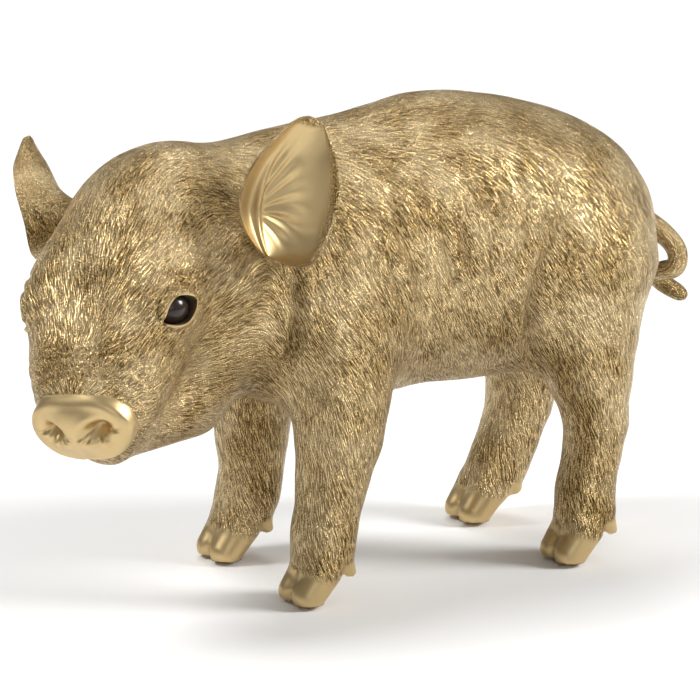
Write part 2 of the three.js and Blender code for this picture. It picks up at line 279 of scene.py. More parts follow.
def lids_distance(points):
    return np.minimum(*[
        np.linalg.norm(points - eye_place(side), axis=1) - LID_RADIUS for side, _ in SIDES
    ])


def head_distance(points):
    head = lumps_distance(13, HEAD, in_head(points))
    return blend(6, [head, lids_distance(points)])


def piglet_distance(points):
    body = blend(18, [lumps_distance(22, TRUNK, points), head_distance(points)])
    whole = blend(13, [body, *[leg_distance(leg, points) for leg in LEGS.values()]])
    return blend(2.0, [whole, snout_distance(in_head(points))])


# --- Working a mesh's points ---------------------------------------------------------------------------

def points_of(mesh):
    flat = np.empty(len(mesh.vertices) * 3)
    mesh.vertices.foreach_get("co", flat)
    return flat.reshape(-1, 3)


def set_points(mesh, points):
    mesh.vertices.foreach_set("co", np.ascontiguousarray(points, float).ravel())
    mesh.update()


def normals_of(mesh):
    flat = np.empty(len(mesh.vertices) * 3)
    mesh.vertex_normals.foreach_get("vector", flat)
    return flat.reshape(-1, 3)


def edges_of(mesh):
    flat = np.empty(len(mesh.edges) * 2, np.int64)
    mesh.edges.foreach_get("vertices", flat)
    return flat.reshape(-1, 2)


def neighbour_mean(values, edges):
    count = np.bincount(edges.ravel(), minlength=len(values))
    total = np.empty_like(values)
    for axis in range(values.shape[1]):
        total[:, axis] = np.bincount(edges[:, 0], values[edges[:, 1], axis], len(values))
        total[:, axis] += np.bincount(edges[:, 1], values[edges[:, 0], axis], len(values))
    return total / np.maximum(count, 1)[:, None]


def settle(mesh, passes, relax=0.5):
    """Evens the points out and lays them on the animal's form."""
    edges = edges_of(mesh)
    points = points_of(mesh)
    for _ in range(passes):
        points += relax * (neighbour_mean(points, edges) - points)
        value = piglet_distance(points)
        slope = np.stack([
            (piglet_distance(points + 0.05 * axis) - value) / 0.05 for axis in np.eye(3)
        ], axis=1)
        points -= slope * (value / np.maximum((slope ** 2).sum(axis=1), 0.3))[:, None]
    set_points(mesh, points)


def rework(mesh, change):
    """Opens a mesh as a bmesh, changes it and puts it back."""
    bm = bmesh.new()
    bm.from_mesh(mesh)
    change(bm)
    bm.to_mesh(mesh)
    bm.free()


def face_out(bm):
    bmesh.ops.recalc_face_normals(bm, faces=bm.faces)


def refine(mesh, choose):
    """Splits the faces whose points are chosen."""
    chosen = choose(points_of(mesh))

    def split(bm):
        edges = [e for e in bm.edges if chosen[e.verts[0].index] and chosen[e.verts[1].index]]
        bmesh.ops.subdivide_edges(bm, edges=edges, cuts=1, use_grid_fill=True)

    rework(mesh, split)


def nearest_on_path(points, path):
    """Distance from each point to a path, and how far along it that is, from 0 to 1."""
    path = np.array(path, float)
    lengths = np.linalg.norm(path[1:] - path[:-1], axis=1)
    starts = np.concatenate([[0], np.cumsum(lengths)])
    best = np.full(len(points), np.inf)
    share = np.zeros(len(points))
    for i, (start, end) in enumerate(zip(path, path[1:])):
        along = end - start
        t = np.clip((points - start) @ along / (along @ along), 0, 1)
        gap = np.linalg.norm(points - start - t[:, None] * along, axis=1)
        nearer = gap < best
        best = np.where(nearer, gap, best)
        share = np.where(nearer, (starts[i] + t * lengths[i]) / starts[-1], share)
    return best, share


def groove(points, path, width, depth, rim=0.3):
    """The push of a crease along a path: a valley between two low banks, faded at both ends."""
    gap, share = nearest_on_path(points, path)
    fade = np.sin(np.pi * np.clip(share, 0, 1)) ** 0.5
    valley = np.exp(-((gap / width) ** 2))
    bank = np.exp(-(((gap - 2.0 * width) / width) ** 2))
    return fade * depth * (rim * bank - valley)


def waver(points, size, seed):
    """A slow wander from -1 to 1 over places of the given size."""
    offset = Vector((seed * 7.3, seed * 3.1, seed * 5.7))
    return np.array([noise.noise(Vector(p) / size + offset) for p in points])


# --- Pieces --------------------------------------------------------------------------------------------

def workpiece(bm, name="workpiece"):
    mesh = bpy.data.meshes.new(name)
    bm.to_mesh(mesh)
    bm.free()
    piece = bpy.data.objects.new(name, mesh)
    bpy.context.scene.collection.objects.link(piece)
    return piece


def apply_modifiers(piece):
    bpy.context.view_layer.update()
    graph = bpy.context.evaluated_depsgraph_get()
    mesh = bpy.data.meshes.new_from_object(piece.evaluated_get(graph))
    piece.modifiers.clear()
    old = piece.data
    piece.data = mesh
    bpy.data.meshes.remove(old)


def cut_away(piece, bm):
    """Cuts a closed tool's shape out of a piece."""
    face_out(bm)
    bmesh.ops.triangulate(bm, faces=bm.faces)
    tool = workpiece(bm, "tool")
    cut = piece.modifiers.new("cut", "BOOLEAN")
    cut.operation = "DIFFERENCE"
    cut.solver = "MANIFOLD"
    cut.object = tool
    before = len(piece.data.vertices)
    apply_modifiers(piece)
    if len(piece.data.vertices) in (0, before):
        raise RuntimeError("a cut left the casting unchanged or empty")
    bpy.data.objects.remove(tool)


def to_frame(mesh):
    set_points(mesh, (points_of(mesh) + SHIFT) * MM)


def finish_piece(piece, name, body, nodes, material, sharp=45.0):
    piece.name = name
    piece.data.name = name
    piece.data.materials.clear()
    piece.data.materials.append(material)
    piece.data.shade_smooth()
    piece.data.set_sharp_from_angle(angle=math.radians(sharp))
    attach(piece, body)
    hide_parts(*nodes)
    return piece


def store(mesh, name, values):
    """Keeps a value or a direction for each point, for the material to read."""
    values = np.asarray(values, float)
    kind = "FLOAT" if values.ndim == 1 else "FLOAT_VECTOR"
    layer = mesh.attributes.new(name, kind, "POINT")
    layer.data.foreach_set("value" if values.ndim == 1 else "vector", np.ascontiguousarray(values).ravel())


def store_coat(mesh, comb, coat=1.0, hollow=0.0, raw=0.0):
    """Keeps the way the coat lies, where it is, where painted shade darkens the hollows, and where the iron
    is bare.
    """
    store(mesh, "comb", comb)
    for name, mask in (("coat", coat), ("hollow", hollow), ("raw", raw)):
        store(mesh, name, np.broadcast_to(mask, len(mesh.vertices)))


# --- The body casting ----------------------------------------------------------------------------------

def add_ball(bm, matrix, subdivisions=4):
    bmesh.ops.create_icosphere(bm, subdivisions=subdivisions, radius=1, matrix=matrix)


def add_lumps(bm, lumps, place=Matrix.Identity(4), less=0.0):
    for lump in lumps:
        if lump[0] == "ball":
            radii = [radius - less for radius in lump[2]]
            add_ball(bm, place @ Matrix.Translation(lump[1]) @ Matrix.Diagonal((*radii, 1)))
            continue
        _, start, start_radius, end, end_radius = lump
        start, end = Vector(start), Vector(end)
        count = max(2, math.ceil((end - start).length / (0.4 * min(start_radius, end_radius))))
        for i in range(count + 1):
            radius = start_radius + (end_radius - start_radius) * i / count - less
            spot = start.lerp(end, i / count)
            add_ball(bm, place @ Matrix.Translation(spot) @ Matrix.Scale(radius, 4), 3)


def rough_clay():
    """The lumps of the animal, laid together and skinned over as one closed surface."""
    bm = bmesh.new()
    add_lumps(bm, TRUNK)
    add_lumps(bm, HEAD, HEAD_MATRIX)
    for leg in LEGS.values():
        add_lumps(bm, [*flesh_limbs(leg["flesh"]), *toe_limbs(leg)])
    disc = HEAD_MATRIX @ Matrix.Translation(SNOUT["at"]) @ Matrix.Diagonal((
        SNOUT["half_depth"], SNOUT["half_width"], SNOUT["half_height"], 1,
    ))
    add_ball(bm, disc)
    for side, _ in SIDES:
        add_ball(bm, Matrix.Translation(eye_place(side)) @ Matrix.Scale(LID_RADIUS, 4))
    clay = workpiece(bm, "clay")
    remesh = clay.modifiers.new("skin", "REMESH")
    remesh.mode = "VOXEL"
    remesh.voxel_size = settings().skin_cell / MM
    remesh.adaptivity = 0
    apply_modifiers(clay)
    return clay


def near_eyes(points, reach):
    return np.minimum(*[np.linalg.norm(points - eye_place(side), axis=1) for side, _ in SIDES]) < reach


FOLDS = (
    # (path, width, depth) on the animal's left; the far side has the same ones.
    (((16, 40, 166), (15, 44, 157), (15, 47, 149), (12, 49, 136)), 2.6, 0.9),
    (((6, 41, 165), (5, 45, 152), (5, 48, 141), (2, 49, 129), (-7, 48, 116)), 2.5, 1.3),
    (((-6, 39, 170), (-7, 45, 156), (-4, 47, 146), (-5, 49, 134), (-8, 49, 120)), 2.4, 1.3),
    (((-15, 42, 166), (-17, 47, 152), (-15, 49, 138), (-18, 49, 122)), 2.3, 0.8),
    (((-32, 38, 170), (-33, 45, 155), (-31, 49, 143), (-29, 50, 128)), 2.8, 1.1),
    (((24, 37, 170), (27, 43, 159), (24, 48, 146), (20, 49, 135), (14, 48, 116)), 3.2, 1.5),
    (((34, 48, 152), (31, 50, 140), (28, 51, 128), (22, 49, 108)), 2.6, 0.8),
    (((44, 51, 142), (39, 53, 127), (34, 54, 116), (27, 50, 103)), 3.0, 1.0),
    (((54, 50, 138), (50, 53, 124), (45, 53, 112)), 2.6, 0.6),
    (((72, 43, 150), (72, 46, 133), (71, 46, 119), (72, 42, 104), (78, 37, 95)), 3.0, 2.3),
    (((64, 44, 150), (61, 47, 134), (60, 48, 118), (63, 46, 102)), 2.6, 0.9),
    (((36, 45, 93), (46, 50, 86), (60, 48, 87), (72, 42, 93)), 2.4, 1.3),
    (
        ((-52, 47, 152), (-44, 50, 138), (-37, 50, 126), (-34, 47, 110), (-40, 40, 90), (-50, 33, 73)),
        4.0, 2.2,
    ),
    (((-26, 50, 128), (-24, 47, 112), (-29, 42, 97)), 2.6, 0.7),
    (((10, 49, 112), (2, 47, 101), (-4, 42, 92)), 2.6, 0.6),
)


def body_folds(points):
    push = np.zeros(len(points))
    for path, width, depth in FOLDS:
        for sign in (1, -1):
            push += groove(points, [(x, sign * y, z) for x, y, z in path], 0.8 * width, 0.8 * depth, 0.5)
    return push + 0.35 * waver(points, 14.0, 11) * step_between(60, 95, points[:, 2])


def head_creases(points):
    """Wrinkles across the muzzle, the mouth, and the jowl, in the head's frame."""
    front, out, up = points.T
    ripple = np.sin(2 * np.pi * (front + 0.05 * out ** 2 / 6) / 3.4)
    window = step_between(20, 27, front) * (1 - step_between(36, 38.5, front)) * step_between(-30, -14, up)
    push = 0.55 * ripple * window
    for sign in (1, -1):
        mouth = [
            (38, 10 * sign, -39), (34.6, 17 * sign, -31.5), (27, 20.5 * sign, -35),
            (20.8, 22 * sign, -37), (12, 24 * sign, -36),
        ]
        push += groove(points, mouth, 1.5, 1.7)
        for shift in (0, 6, 12):
            swell = 0.4 * shift
            cheek = [(20 - shift, (25 + swell) * sign, -16), (17 - shift, (27 + swell) * sign, -27)]
            push += groove(points, cheek, 2.0, 0.5, 0.4)
        brow = [(16, 15 * sign, -2), (8, 20 * sign, 8), (-2, 23 * sign, 15)]
        push += groove(points, brow, 4.0, 0.7, 0.2)
    return push


def lid_creases(points):
    """The rim of each lid and the folds around it."""
    push = np.zeros(len(points))
    for side, sign in SIDES:
        corner, up, out = ((points - eye_place(side)) @ eye_axes(sign).T).T
        reach = np.hypot(corner / 1.05, up / 0.9)
        front = step_between(-2, 3, out)
        above = step_between(-0.35, 0.35, up / np.maximum(reach, 1e-6))
        push += front * 0.55 * np.exp(-(((reach - 7.4) / 1.0) ** 2))
        push -= front * 0.9 * np.exp(-(((reach - 10.2) / 0.75) ** 2)) * (0.35 + 0.65 * above)
        push += front * 0.5 * np.exp(-(((reach - 12.4) / 1.5) ** 2)) * above
        push -= front * 0.9 * np.exp(-(((reach - 15.2) / 1.1) ** 2)) * above
        tear = np.hypot(np.clip(np.abs(corner) - 9.5, 0, 9), up + 0.5 * np.abs(corner) - 3.6)
        push -= front * 0.9 * np.exp(-((tear / 0.8) ** 2)) * step_between(6.5, 8.5, -corner) * (reach < 13)
    return push


def snout_front(points):
    """How far the snout disc's front goes back: the nostrils, the furrows round them and the lip above."""
    front, out, up = (points - SNOUT["at"]).T
    face = step_between(1.5, 3.6, front)
    share = np.hypot(out / SNOUT["half_width"], up / SNOUT["half_height"])
    push = 1.2 - 1.4 * share ** 2
    push += 1.0 * np.exp(-((np.hypot(np.abs(out) - 12, up + 8) / 6.5) ** 2))
    push -= 1.3 * np.exp(-((out / 2.2) ** 2)) * step_between(1, 13, -up)
    for sign in (1, -1):
        across = (out - sign * NOSTRIL["out"]) / NOSTRIL["half_width"]
        over = (up - NOSTRIL["up"]) / NOSTRIL["half_height"]
        ring = np.hypot(across, over)
        angle = np.arctan2(over, across)
        push -= NOSTRIL["depth"] * np.exp(-(ring ** 2.2) * 1.3)
        push += 0.3 * np.exp(-(((ring - 1.6) / 0.45) ** 2))
        rays = np.sin(9 * angle + sign) + 0.6 * np.sin(14 * angle + 1.7)
        push += 0.5 * rays * np.exp(-(((ring - 1.45) / 0.55) ** 2)) * step_between(-0.5, 0.6, -over)
    return push * face * (1 - step_between(0.93, 1.05, share))


def hoof_clefts(points):
    push = np.zeros(len(points))
    for leg in LEGS.values():
        x, y = leg["hoof"]
        cleft = [(x + ahead, y, z) for ahead, z in ((1, 22), (7, 15), (10.5, 8), (10, 0), (2, 0), (-8, 3))]
        gap, _ = nearest_on_path(points, cleft)
        top = 1 - step_between(15, 21, points[:, 2])
        push -= 2.4 * np.exp(-((gap / 1.5) ** 2)) * top
    return push


def sculpt(mesh):
    """Presses the folds, wrinkles and features into the settled form."""
    for shape in (
        body_folds,
        lambda points: head_creases(in_head(points)) + lid_creases(points) + hoof_clefts(points),
    ):
        points, normals = points_of(mesh), normals_of(mesh)
        set_points(mesh, points + normals * shape(points)[:, None])
    points = points_of(mesh)
    push = snout_front(in_head(points))
    points = points + push[:, None] * HEAD_AXES[:, 0]
    points[:, 2] = np.maximum(points[:, 2], SOLE)
    set_points(mesh, points)


def slab(bm, low, high):
    low, high = Vector(low), Vector(high)
    matrix = Matrix.Translation((low + high) / 2) @ Matrix.Diagonal((*(high - low), 1))
    bmesh.ops.create_cube(bm, size=1, matrix=matrix)


def round_bar(bm, radius, low, high, segments=64):
    matrix = Matrix.Translation((STOPPER_X, 0, (low + high) / 2))
    bmesh.ops.create_cone(
        bm, cap_ends=True, segments=segments, radius1=radius, radius2=radius, depth=high - low, matrix=matrix
    )


def core_clay():
    """The hollow that the sand core leaves inside head and trunk."""
    bm = bmesh.new()
    add_lumps(bm, TRUNK, less=WALL + 1)
    add_lumps(bm, HEAD[:3], HEAD_MATRIX, less=WALL + 2)
    core = workpiece(bm, "core")
    remesh = core.modifiers.new("skin", "REMESH")
    remesh.mode = "VOXEL"
    remesh.voxel_size = 4
    apply_modifiers(core)
    bm = bmesh.new()
    bm.from_mesh(core.data)
    bpy.data.objects.remove(core)
    floor = bmesh.ops.bisect_plane(
        bm, geom=[*bm.verts, *bm.edges, *bm.faces], plane_co=(0, 0, CORE_FLOOR), plane_no=(0, 0, 1),
        clear_inner=True,
    )
    rim = [edge for edge in floor["geom_cut"] if isinstance(edge, bmesh.types.BMEdge)]
    bmesh.ops.holes_fill(bm, edges=rim)
    return bm


def almond_tool(side, sign):
    """A prism with pointed corners that opens the lids."""
    bm = bmesh.new()
    bmesh.ops.create_circle(bm, cap_ends=True, segments=48, radius=1)
    for vert in bm.verts:
        x, y = vert.co.x, vert.co.y
        full = 1.0 if y > 0 else 0.82
        lid = math.copysign((1 - abs(x) ** 1.7) ** 0.8, y) * EYE_HALF[1] * full
        vert.co = Vector((x * EYE_HALF[0], lid - EYE_DROP, 0))
    lifted = bmesh.ops.extrude_face_region(bm, geom=list(bm.faces))
    top = [vert for vert in lifted["geom"] if isinstance(vert, bmesh.types.BMVert)]
    bmesh.ops.translate(bm, verts=top, vec=(0, 0, 16))
    bmesh.ops.scale(bm, verts=top, vec=(1.25, 1.25, 1))
    corner, up, out = eye_axes(sign)
    turn = Matrix([corner, up, out]).transposed().to_4x4()
    bmesh.ops.transform(bm, verts=bm.verts, matrix=Matrix.Translation(eye_place(side)) @ turn)
    bmesh.ops.remove_doubles(bm, verts=bm.verts, dist=1e-4)
    return bm


def cut_openings(casting):
    """The hollow, the coin slot, the emptying hole and the eye sockets."""
    cut_away(casting, core_clay())
    bm = bmesh.new()
    slab(
        bm,
        (SLOT["x"] - SLOT["length"] / 2, SLOT["y"] - SLOT["width"] / 2, 150),
        (SLOT["x"] + SLOT["length"] / 2, SLOT["y"] + SLOT["width"] / 2, 204),
    )
    upright = [e for e in bm.edges if abs(e.verts[0].co.z - e.verts[1].co.z) > 1]
    rounding = SLOT["width"] / 2 - 0.05
    bmesh.ops.bevel(bm, geom=upright, offset=rounding, segments=8, profile=0.5, affect="EDGES", material=-1)
    cut_away(casting, bm)
    for radius, top in ((HOLE["radius"], HOLE["boss_top"] + 8), (HOLE["seat_radius"], HOLE["seat"])):
        bm = bmesh.new()
        round_bar(bm, radius, 60, top)
        cut_away(casting, bm)
    for side, sign in SIDES:
        bm = bmesh.new()
        add_ball(bm, Matrix.Translation(eye_place(side)) @ Matrix.Scale(EYE_RADIUS + 0.15, 4))
        cut_away(casting, bm)
        cut_away(casting, almond_tool(side, sign))


def comb_flow(points, normals):
    """The way the coat lies at each point: back from the snout, along the trunk and down the legs."""
    _, y, z = points.T
    from_snout = unit(points - from_head((40, 0, -16)))
    flank = 1 - step_between(150, 186, z)
    back = np.stack([
        -1 + 0.45 * flank, 0.5 * np.sign(y) * step_between(4, 36, np.abs(y)), -0.1 - 1.0 * flank,
    ], axis=1)
    down = np.stack([-0.28 * np.ones(len(points)), np.zeros(len(points)), -np.ones(len(points))], axis=1)
    head = step_between(-8, 10, lumps_distance(22, TRUNK, points) - head_distance(points))
    leg = 1 - step_between(58, 138, z)
    flow = back * (1 - leg)[:, None] + down * leg[:, None]
    flow = flow * (1 - head)[:, None] + from_snout * head[:, None]
    for axis in range(3):
        flow[:, axis] += 0.26 * waver(points, 17.0, 3 + axis)
    flow -= normals * (flow * normals).sum(axis=1)[:, None]
    return unit(flow)


def smooth_parts(points):
    """1 where the coat covers the casting, 0 on the snout disc, the hooves and the lid rims."""
    x, y, z = points.T
    front, out, up = (in_head(points) - SNOUT["at"]).T
    disc = (front > -2) & (np.hypot(out / SNOUT["half_width"], up / SNOUT["half_height"]) < 1.04)
    coat = np.where(disc, 0.0, step_between(0.1, 0.9, snout_distance(in_head(points))))
    for leg in LEGS.values():
        hoof_x, hoof_y = leg["hoof"]
        beside = np.hypot(x - hoof_x, y - hoof_y) < 30
        line = 11.5 + 0.35 * (x - hoof_x)
        coat = np.where(beside, coat * step_between(line - 1.5, line + 2.5, z), coat)
        for sign in (1, -1):
            tip = row(hoof_x - 13, hoof_y + 7 * sign, 13.5)
            coat *= step_between(4.0, 6.5, np.linalg.norm(points - tip, axis=1))
    for side, sign in SIDES:
        corner, up, out = ((points - eye_place(side)) @ eye_axes(sign).T).T
        reach = np.hypot(corner / 1.25, (up + EYE_DROP) / 0.88)
        coat = np.where(out > 0, coat * step_between(6.6, 7.4, reach), coat)
    return coat


def hollowness(mesh, points, passes):
    """How far each point lies below its neighbourhood, in millimetres."""
    edges = edges_of(mesh)
    even = points.copy()
    for _ in range(passes):
        even = neighbour_mean(even, edges)
    return ((even - points) * normals_of(mesh)).sum(axis=1)


def body_casting():
    clay = rough_clay()
    mesh = clay.data
    settle(mesh, 5)
    refine(mesh, lambda p: (in_head(p)[:, 0] > 10) | near_eyes(p, 24) | (p[:, 2] < 32))
    settle(mesh, 2, 0.3)
    refine(mesh, lambda p: (in_head(p)[:, 0] > 37) | near_eyes(p, 13))
    settle(mesh, 2, 0.3)
    sculpt(mesh)
    cut_openings(clay)
    mesh = clay.data
    points = points_of(mesh)
    normals = normals_of(mesh)
    deep = step_between(2.0, 3.2, -piglet_distance(points))
    deep = deep * step_between(CORE_FLOOR - 10, CORE_FLOOR - 6, points[:, 2])
    deep = deep * (snout_distance(in_head(points)) > 3)
    # Painted shade: points lying below their neighbourhood, in folds and creases, get a mask that darkens
    # their colour.
    hollow = step_between(0.10, 0.75, hollowness(mesh, points, 8))
    store_coat(mesh, comb_flow(points, normals), smooth_parts(points), hollow, deep)
    to_frame(mesh)
    return finish_piece(clay, "piglet_casting", "bank", ["body_casting"], gilded_iron())


# --- Ears and tail -------------------------------------------------------------------------------------

def ear_frame(ear):
    root, tip = from_head(ear["root"]), from_head(ear["tip"])
    up = unit(tip - root)
    mouth = np.array(ear["facing"], float) @ HEAD_AXES.T
    across = unit(np.cross(mouth, up))
    return np.array([across, np.cross(up, across), up]), root, np.linalg.norm(tip - root)


def ear_shape(across, share, sheet, length, ear):
    """A leaf bent into a cup, with a rolled rim, ribs fanning up inside and a swollen root behind."""
    forward = across * ear["front"]
    half = ear["half"] * (0.09 + 0.91 * np.abs(np.sin(np.pi * share ** 0.66)) ** 0.62)
    bowl = ear["bowl"] * np.maximum(1 - share / 0.3, 0) ** 2
    turned_in = np.maximum(forward, 0)
    flat_tip = 0.12 + 0.88 * step_between(1.0, 0.68, share)
    depth = ear["cup"] * flat_tip * (1 - 0.5 * share) * (across ** 2 - 0.35)
    depth += EAR_FOLD * turned_in ** 3 * (1 - share)
    thick = 2.6 * (1 - 0.45 * np.abs(across)) * (1 - 0.3 * share)
    rim = np.exp(-(((np.maximum(np.abs(across), 2 * share - 1) - 0.95) / 0.05) ** 2))
    inside = step_between(-0.2, 0.2, sheet)
    reach = np.hypot(forward - 0.25, 1.6 * (share - 0.24))
    turn = np.arctan2(1.6 * (share - 0.24), 0.25 - forward)
    ribs = np.cos(17 * turn + 4 * reach)
    ribs = ribs * step_between(0.12, 0.3, reach) * (1 - step_between(0.55, 1.05, reach))
    ribs = ribs * step_between(1.9, 1.3, turn) * step_between(-0.5, -0.2, turn)
    crest = np.exp(-(((forward - 0.22 - 0.35 * (share - 0.3)) / 0.07) ** 2)) * step_between(0.72, 0.4, share)
    concha = np.exp(-(((forward - 0.4) / 0.3) ** 2) - ((share - 0.3) / 0.22) ** 2)
    root = 8.0 * np.exp(-(across / 0.5) ** 2 - ((share - 0.2) / 0.2) ** 2)
    y = depth + bowl + sheet * (thick + 0.6 * rim) / 2
    y += inside * (0.55 * ribs + 2.0 * crest - 2.6 * concha + 0.4 * rim) - (1 - inside) * root
    y += 0.9 * np.sin(5.5 * share + 2.0 * across) * np.abs(across)
    along = half * across * (1 - 0.12 * turned_in ** 2) + ear["bend"] * ear["front"] * np.sin(np.pi * share)
    return np.stack([along, y, length * share], axis=1)


def ear(name):
    bm = bmesh.new()
    bmesh.ops.create_grid(bm, x_segments=64, y_segments=84, size=1)
    face_out(bm)
    bmesh.ops.solidify(bm, geom=bm.faces, thickness=1)
    piece = workpiece(bm)
    flat = points_of(piece.data)
    across, share = flat[:, 0], (flat[:, 1] + 1) / 2
    front = np.where(flat[:, 2] > flat[:, 2].mean(), 1.0, -1.0)
    axes, root, length = ear_frame(EARS[name])
    local = ear_shape(across, share, front, length, EARS[name])
    set_points(piece.data, local @ axes + root)
    up = np.stack([0.55 * across, np.zeros(len(across)), np.ones(len(across))], axis=1)
    inner = (front > 0) * (1 - step_between(0.82, 0.94, np.maximum(np.abs(across), 2 * share - 1)))
    # Painted shade: a dark patch deep in the ear's cup, passed on as the ear's hollow mask.
    deep = np.exp(-(((across * EARS[name]["front"] - 0.4) / 0.45) ** 2) - ((share - 0.35) / 0.3) ** 2)
    store_coat(piece.data, unit(up @ axes), 1 - inner, 0.8 * inner * deep)

    def soften(bm):
        face_out(bm)
        bmesh.ops.smooth_vert(
            bm, verts=bm.verts, factor=0.5, use_axis_x=True, use_axis_y=True, use_axis_z=True
        )

    rework(piece.data, soften)
    to_frame(piece.data)
    return finish_piece(
        piece, f"{name}_ear_casting", "bank", [f"{name}_ear"], gilded_iron(), 80
    )


def smooth_path(stations, count):
    """Points along a flowing line through the stations."""
    stations = np.array(stations, float)
    before, after = stations[:1] * 2 - stations[1:2], stations[-1:] * 2 - stations[-2:-1]
    padded = np.concatenate([before, stations, after])
    line = []
    for t in np.linspace(0, len(stations) - 1 - 1e-6, count):
        i, s = int(t), t - int(t)
        a, b, c, d = padded[i:i + 4]
        bend, twist = 2 * a - 5 * b + 4 * c - d, 3 * b - a - 3 * c + d
        line.append(0.5 * (2 * b + (c - a) * s + bend * s ** 2 + twist * s ** 3))
    return np.array(line)


def tail():
    rings, sides = 110, 28
    line = smooth_path(TAIL, rings)
    places, radii = line[:, :3], line[:, 3]
    to_tip = np.clip((rings - 1 - np.arange(rings)) / 7.0, 0, 1)
    radii = radii * np.sqrt(to_tip * (2 - to_tip))
    along = unit(np.gradient(places, axis=0))
    side = unit(np.cross(along[0], (0, 0, 1)))
    bm = bmesh.new()
    bmesh.ops.create_grid(bm, x_segments=sides, y_segments=rings - 1, size=1)
    piece = workpiece(bm)
    flat = points_of(piece.data)
    ring_of = np.rint((flat[:, 1] + 1) / 2 * (rings - 1)).astype(int)
    angle = np.pi * flat[:, 0]
    sides_along = []
    for direction in along:
        side = unit(side - direction * (side @ direction))
        sides_along.append(side)
    sides_along = np.array(sides_along)
    lifts = np.cross(along, sides_along)
    spread = np.cos(angle)[:, None] * sides_along[ring_of] + np.sin(angle)[:, None] * lifts[ring_of]
    set_points(piece.data, places[ring_of] + spread * radii[ring_of][:, None])
    store_coat(piece.data, along[ring_of])

    def close(bm):
        bmesh.ops.remove_doubles(bm, verts=bm.verts, dist=0.01)
        bmesh.ops.holes_fill(bm, edges=[edge for edge in bm.edges if edge.is_boundary])
        face_out(bm)

    rework(piece.data, close)
    to_frame(piece.data)
    return finish_piece(piece, "tail_casting", "bank", ["tail"], gilded_iron())


# --- Eyes, stopper and pads ----------------------------------------------------------------------------

def eye(side, sign):
    bm = bmesh.new()
    bmesh.ops.create_uvsphere(bm, u_segments=64, v_segments=48, radius=EYE_RADIUS)
    piece = workpiece(bm)
    corner, up, out = points_of(piece.data).T
    gaze = np.hypot(corner + 0.5, up + 0.3)
    store(piece.data, "gaze", np.where(out > 0, gaze, EYE_RADIUS) / EYE_RADIUS)
    set_points(piece.data, points_of(piece.data) @ eye_axes(sign) + eye_place(side))
    rework(piece.data, face_out)
    to_frame(piece.data)
    return finish_piece(piece, f"{side}_glass_eye", "bank", [f"{side}_eye"], eye_glass())


# One rib of the stopper, as inset and rise, and the step to the next.
RIB = ((1.2, 0), (0.2, 0.8), (0, 1.4), (0.1, 2.2), (1.2, 2.8))
RIB_PITCH = 4


def stopper():
    """A ribbed rubber plug with a wide lip and a finger recess that a pull bar crosses."""
    face, top = STOPPER_LOW[2], STOPPER_HIGH[2]
    lip = HOLE["seat_radius"] - 0.6
    rib = HOLE["radius"] - 0.35
    shoulder = HOLE["seat"] - 0.35
    outline = [
        (0, face + 4), (7.6, face + 4), (8.6, face + 3.2), (9.0, face + 0.8), (9.6, face), (lip - 8, face),
        (lip - 3, face + 1.1), (lip - 0.5, face + 2.1), (lip, face + 2.5), (lip - 0.2, shoulder),
        (rib - 0.8, shoulder),
    ]
    z = shoulder + 2
    while z < HOLE["boss_top"]:
        outline += [(rib - inset, z + rise) for inset, rise in RIB]
        z += RIB_PITCH
    outline += [(rib - 2.4, top - 0.8), (rib - 3.4, top), (0, top)]
    bm = bmesh.new()
    verts = [bm.verts.new((radius, 0, height)) for radius, height in outline]
    edges = [bm.edges.new(pair) for pair in zip(verts, verts[1:])]
    bmesh.ops.spin(
        bm, geom=verts + edges, cent=(0, 0, 0), axis=(0, 0, 1), angle=math.tau, steps=96, use_merge=True
    )
    bmesh.ops.remove_doubles(bm, verts=bm.verts, dist=1e-4)
    bar = bmesh.ops.create_cube(
        bm, size=1, matrix=Matrix.Translation((0, 0, face + 2.4)) @ Matrix.Diagonal((19, 5, 4.4, 1))
    )
    bar_edges = {edge for vert in bar["verts"] for edge in vert.link_edges}
    bmesh.ops.bevel(
        bm, geom=list(bar_edges), offset=1.4, segments=5, profile=0.5, affect="EDGES", material=-1
    )
    face_out(bm)
    bmesh.ops.translate(bm, verts=bm.verts, vec=(STOPPER_X, 0, 0))
    piece = workpiece(bm)
    to_frame(piece.data)
    return finish_piece(
        piece, "rubber_stopper", "stopper", ["belly_stopper"], stopper_rubber(), 35
    )


def pad(name):
    low, high = box_of(f"{name}_pad")
    centre = (low + high) / 2 - SHIFT
    bm = bmesh.new()
    bmesh.ops.create_cone(
        bm, cap_ends=True, segments=48, radius1=(high - low)[0] / 2, radius2=(high - low)[0] / 2,
        depth=(high - low)[2], matrix=Matrix.Translation(centre),
    )
    rims = [edge for edge in bm.edges if abs(edge.verts[0].co.z - edge.verts[1].co.z) < 1e-4]
    bmesh.ops.bevel(bm, geom=rims, offset=0.3, segments=3, profile=0.5, affect="EDGES", material=-1)
    piece = workpiece(bm)
    to_frame(piece.data)
    return finish_piece(piece, f"{name}_felt_pad", "bank", [f"{name}_pad"], felt())


# --- Materials -----------------------------------------------------------------------------------------

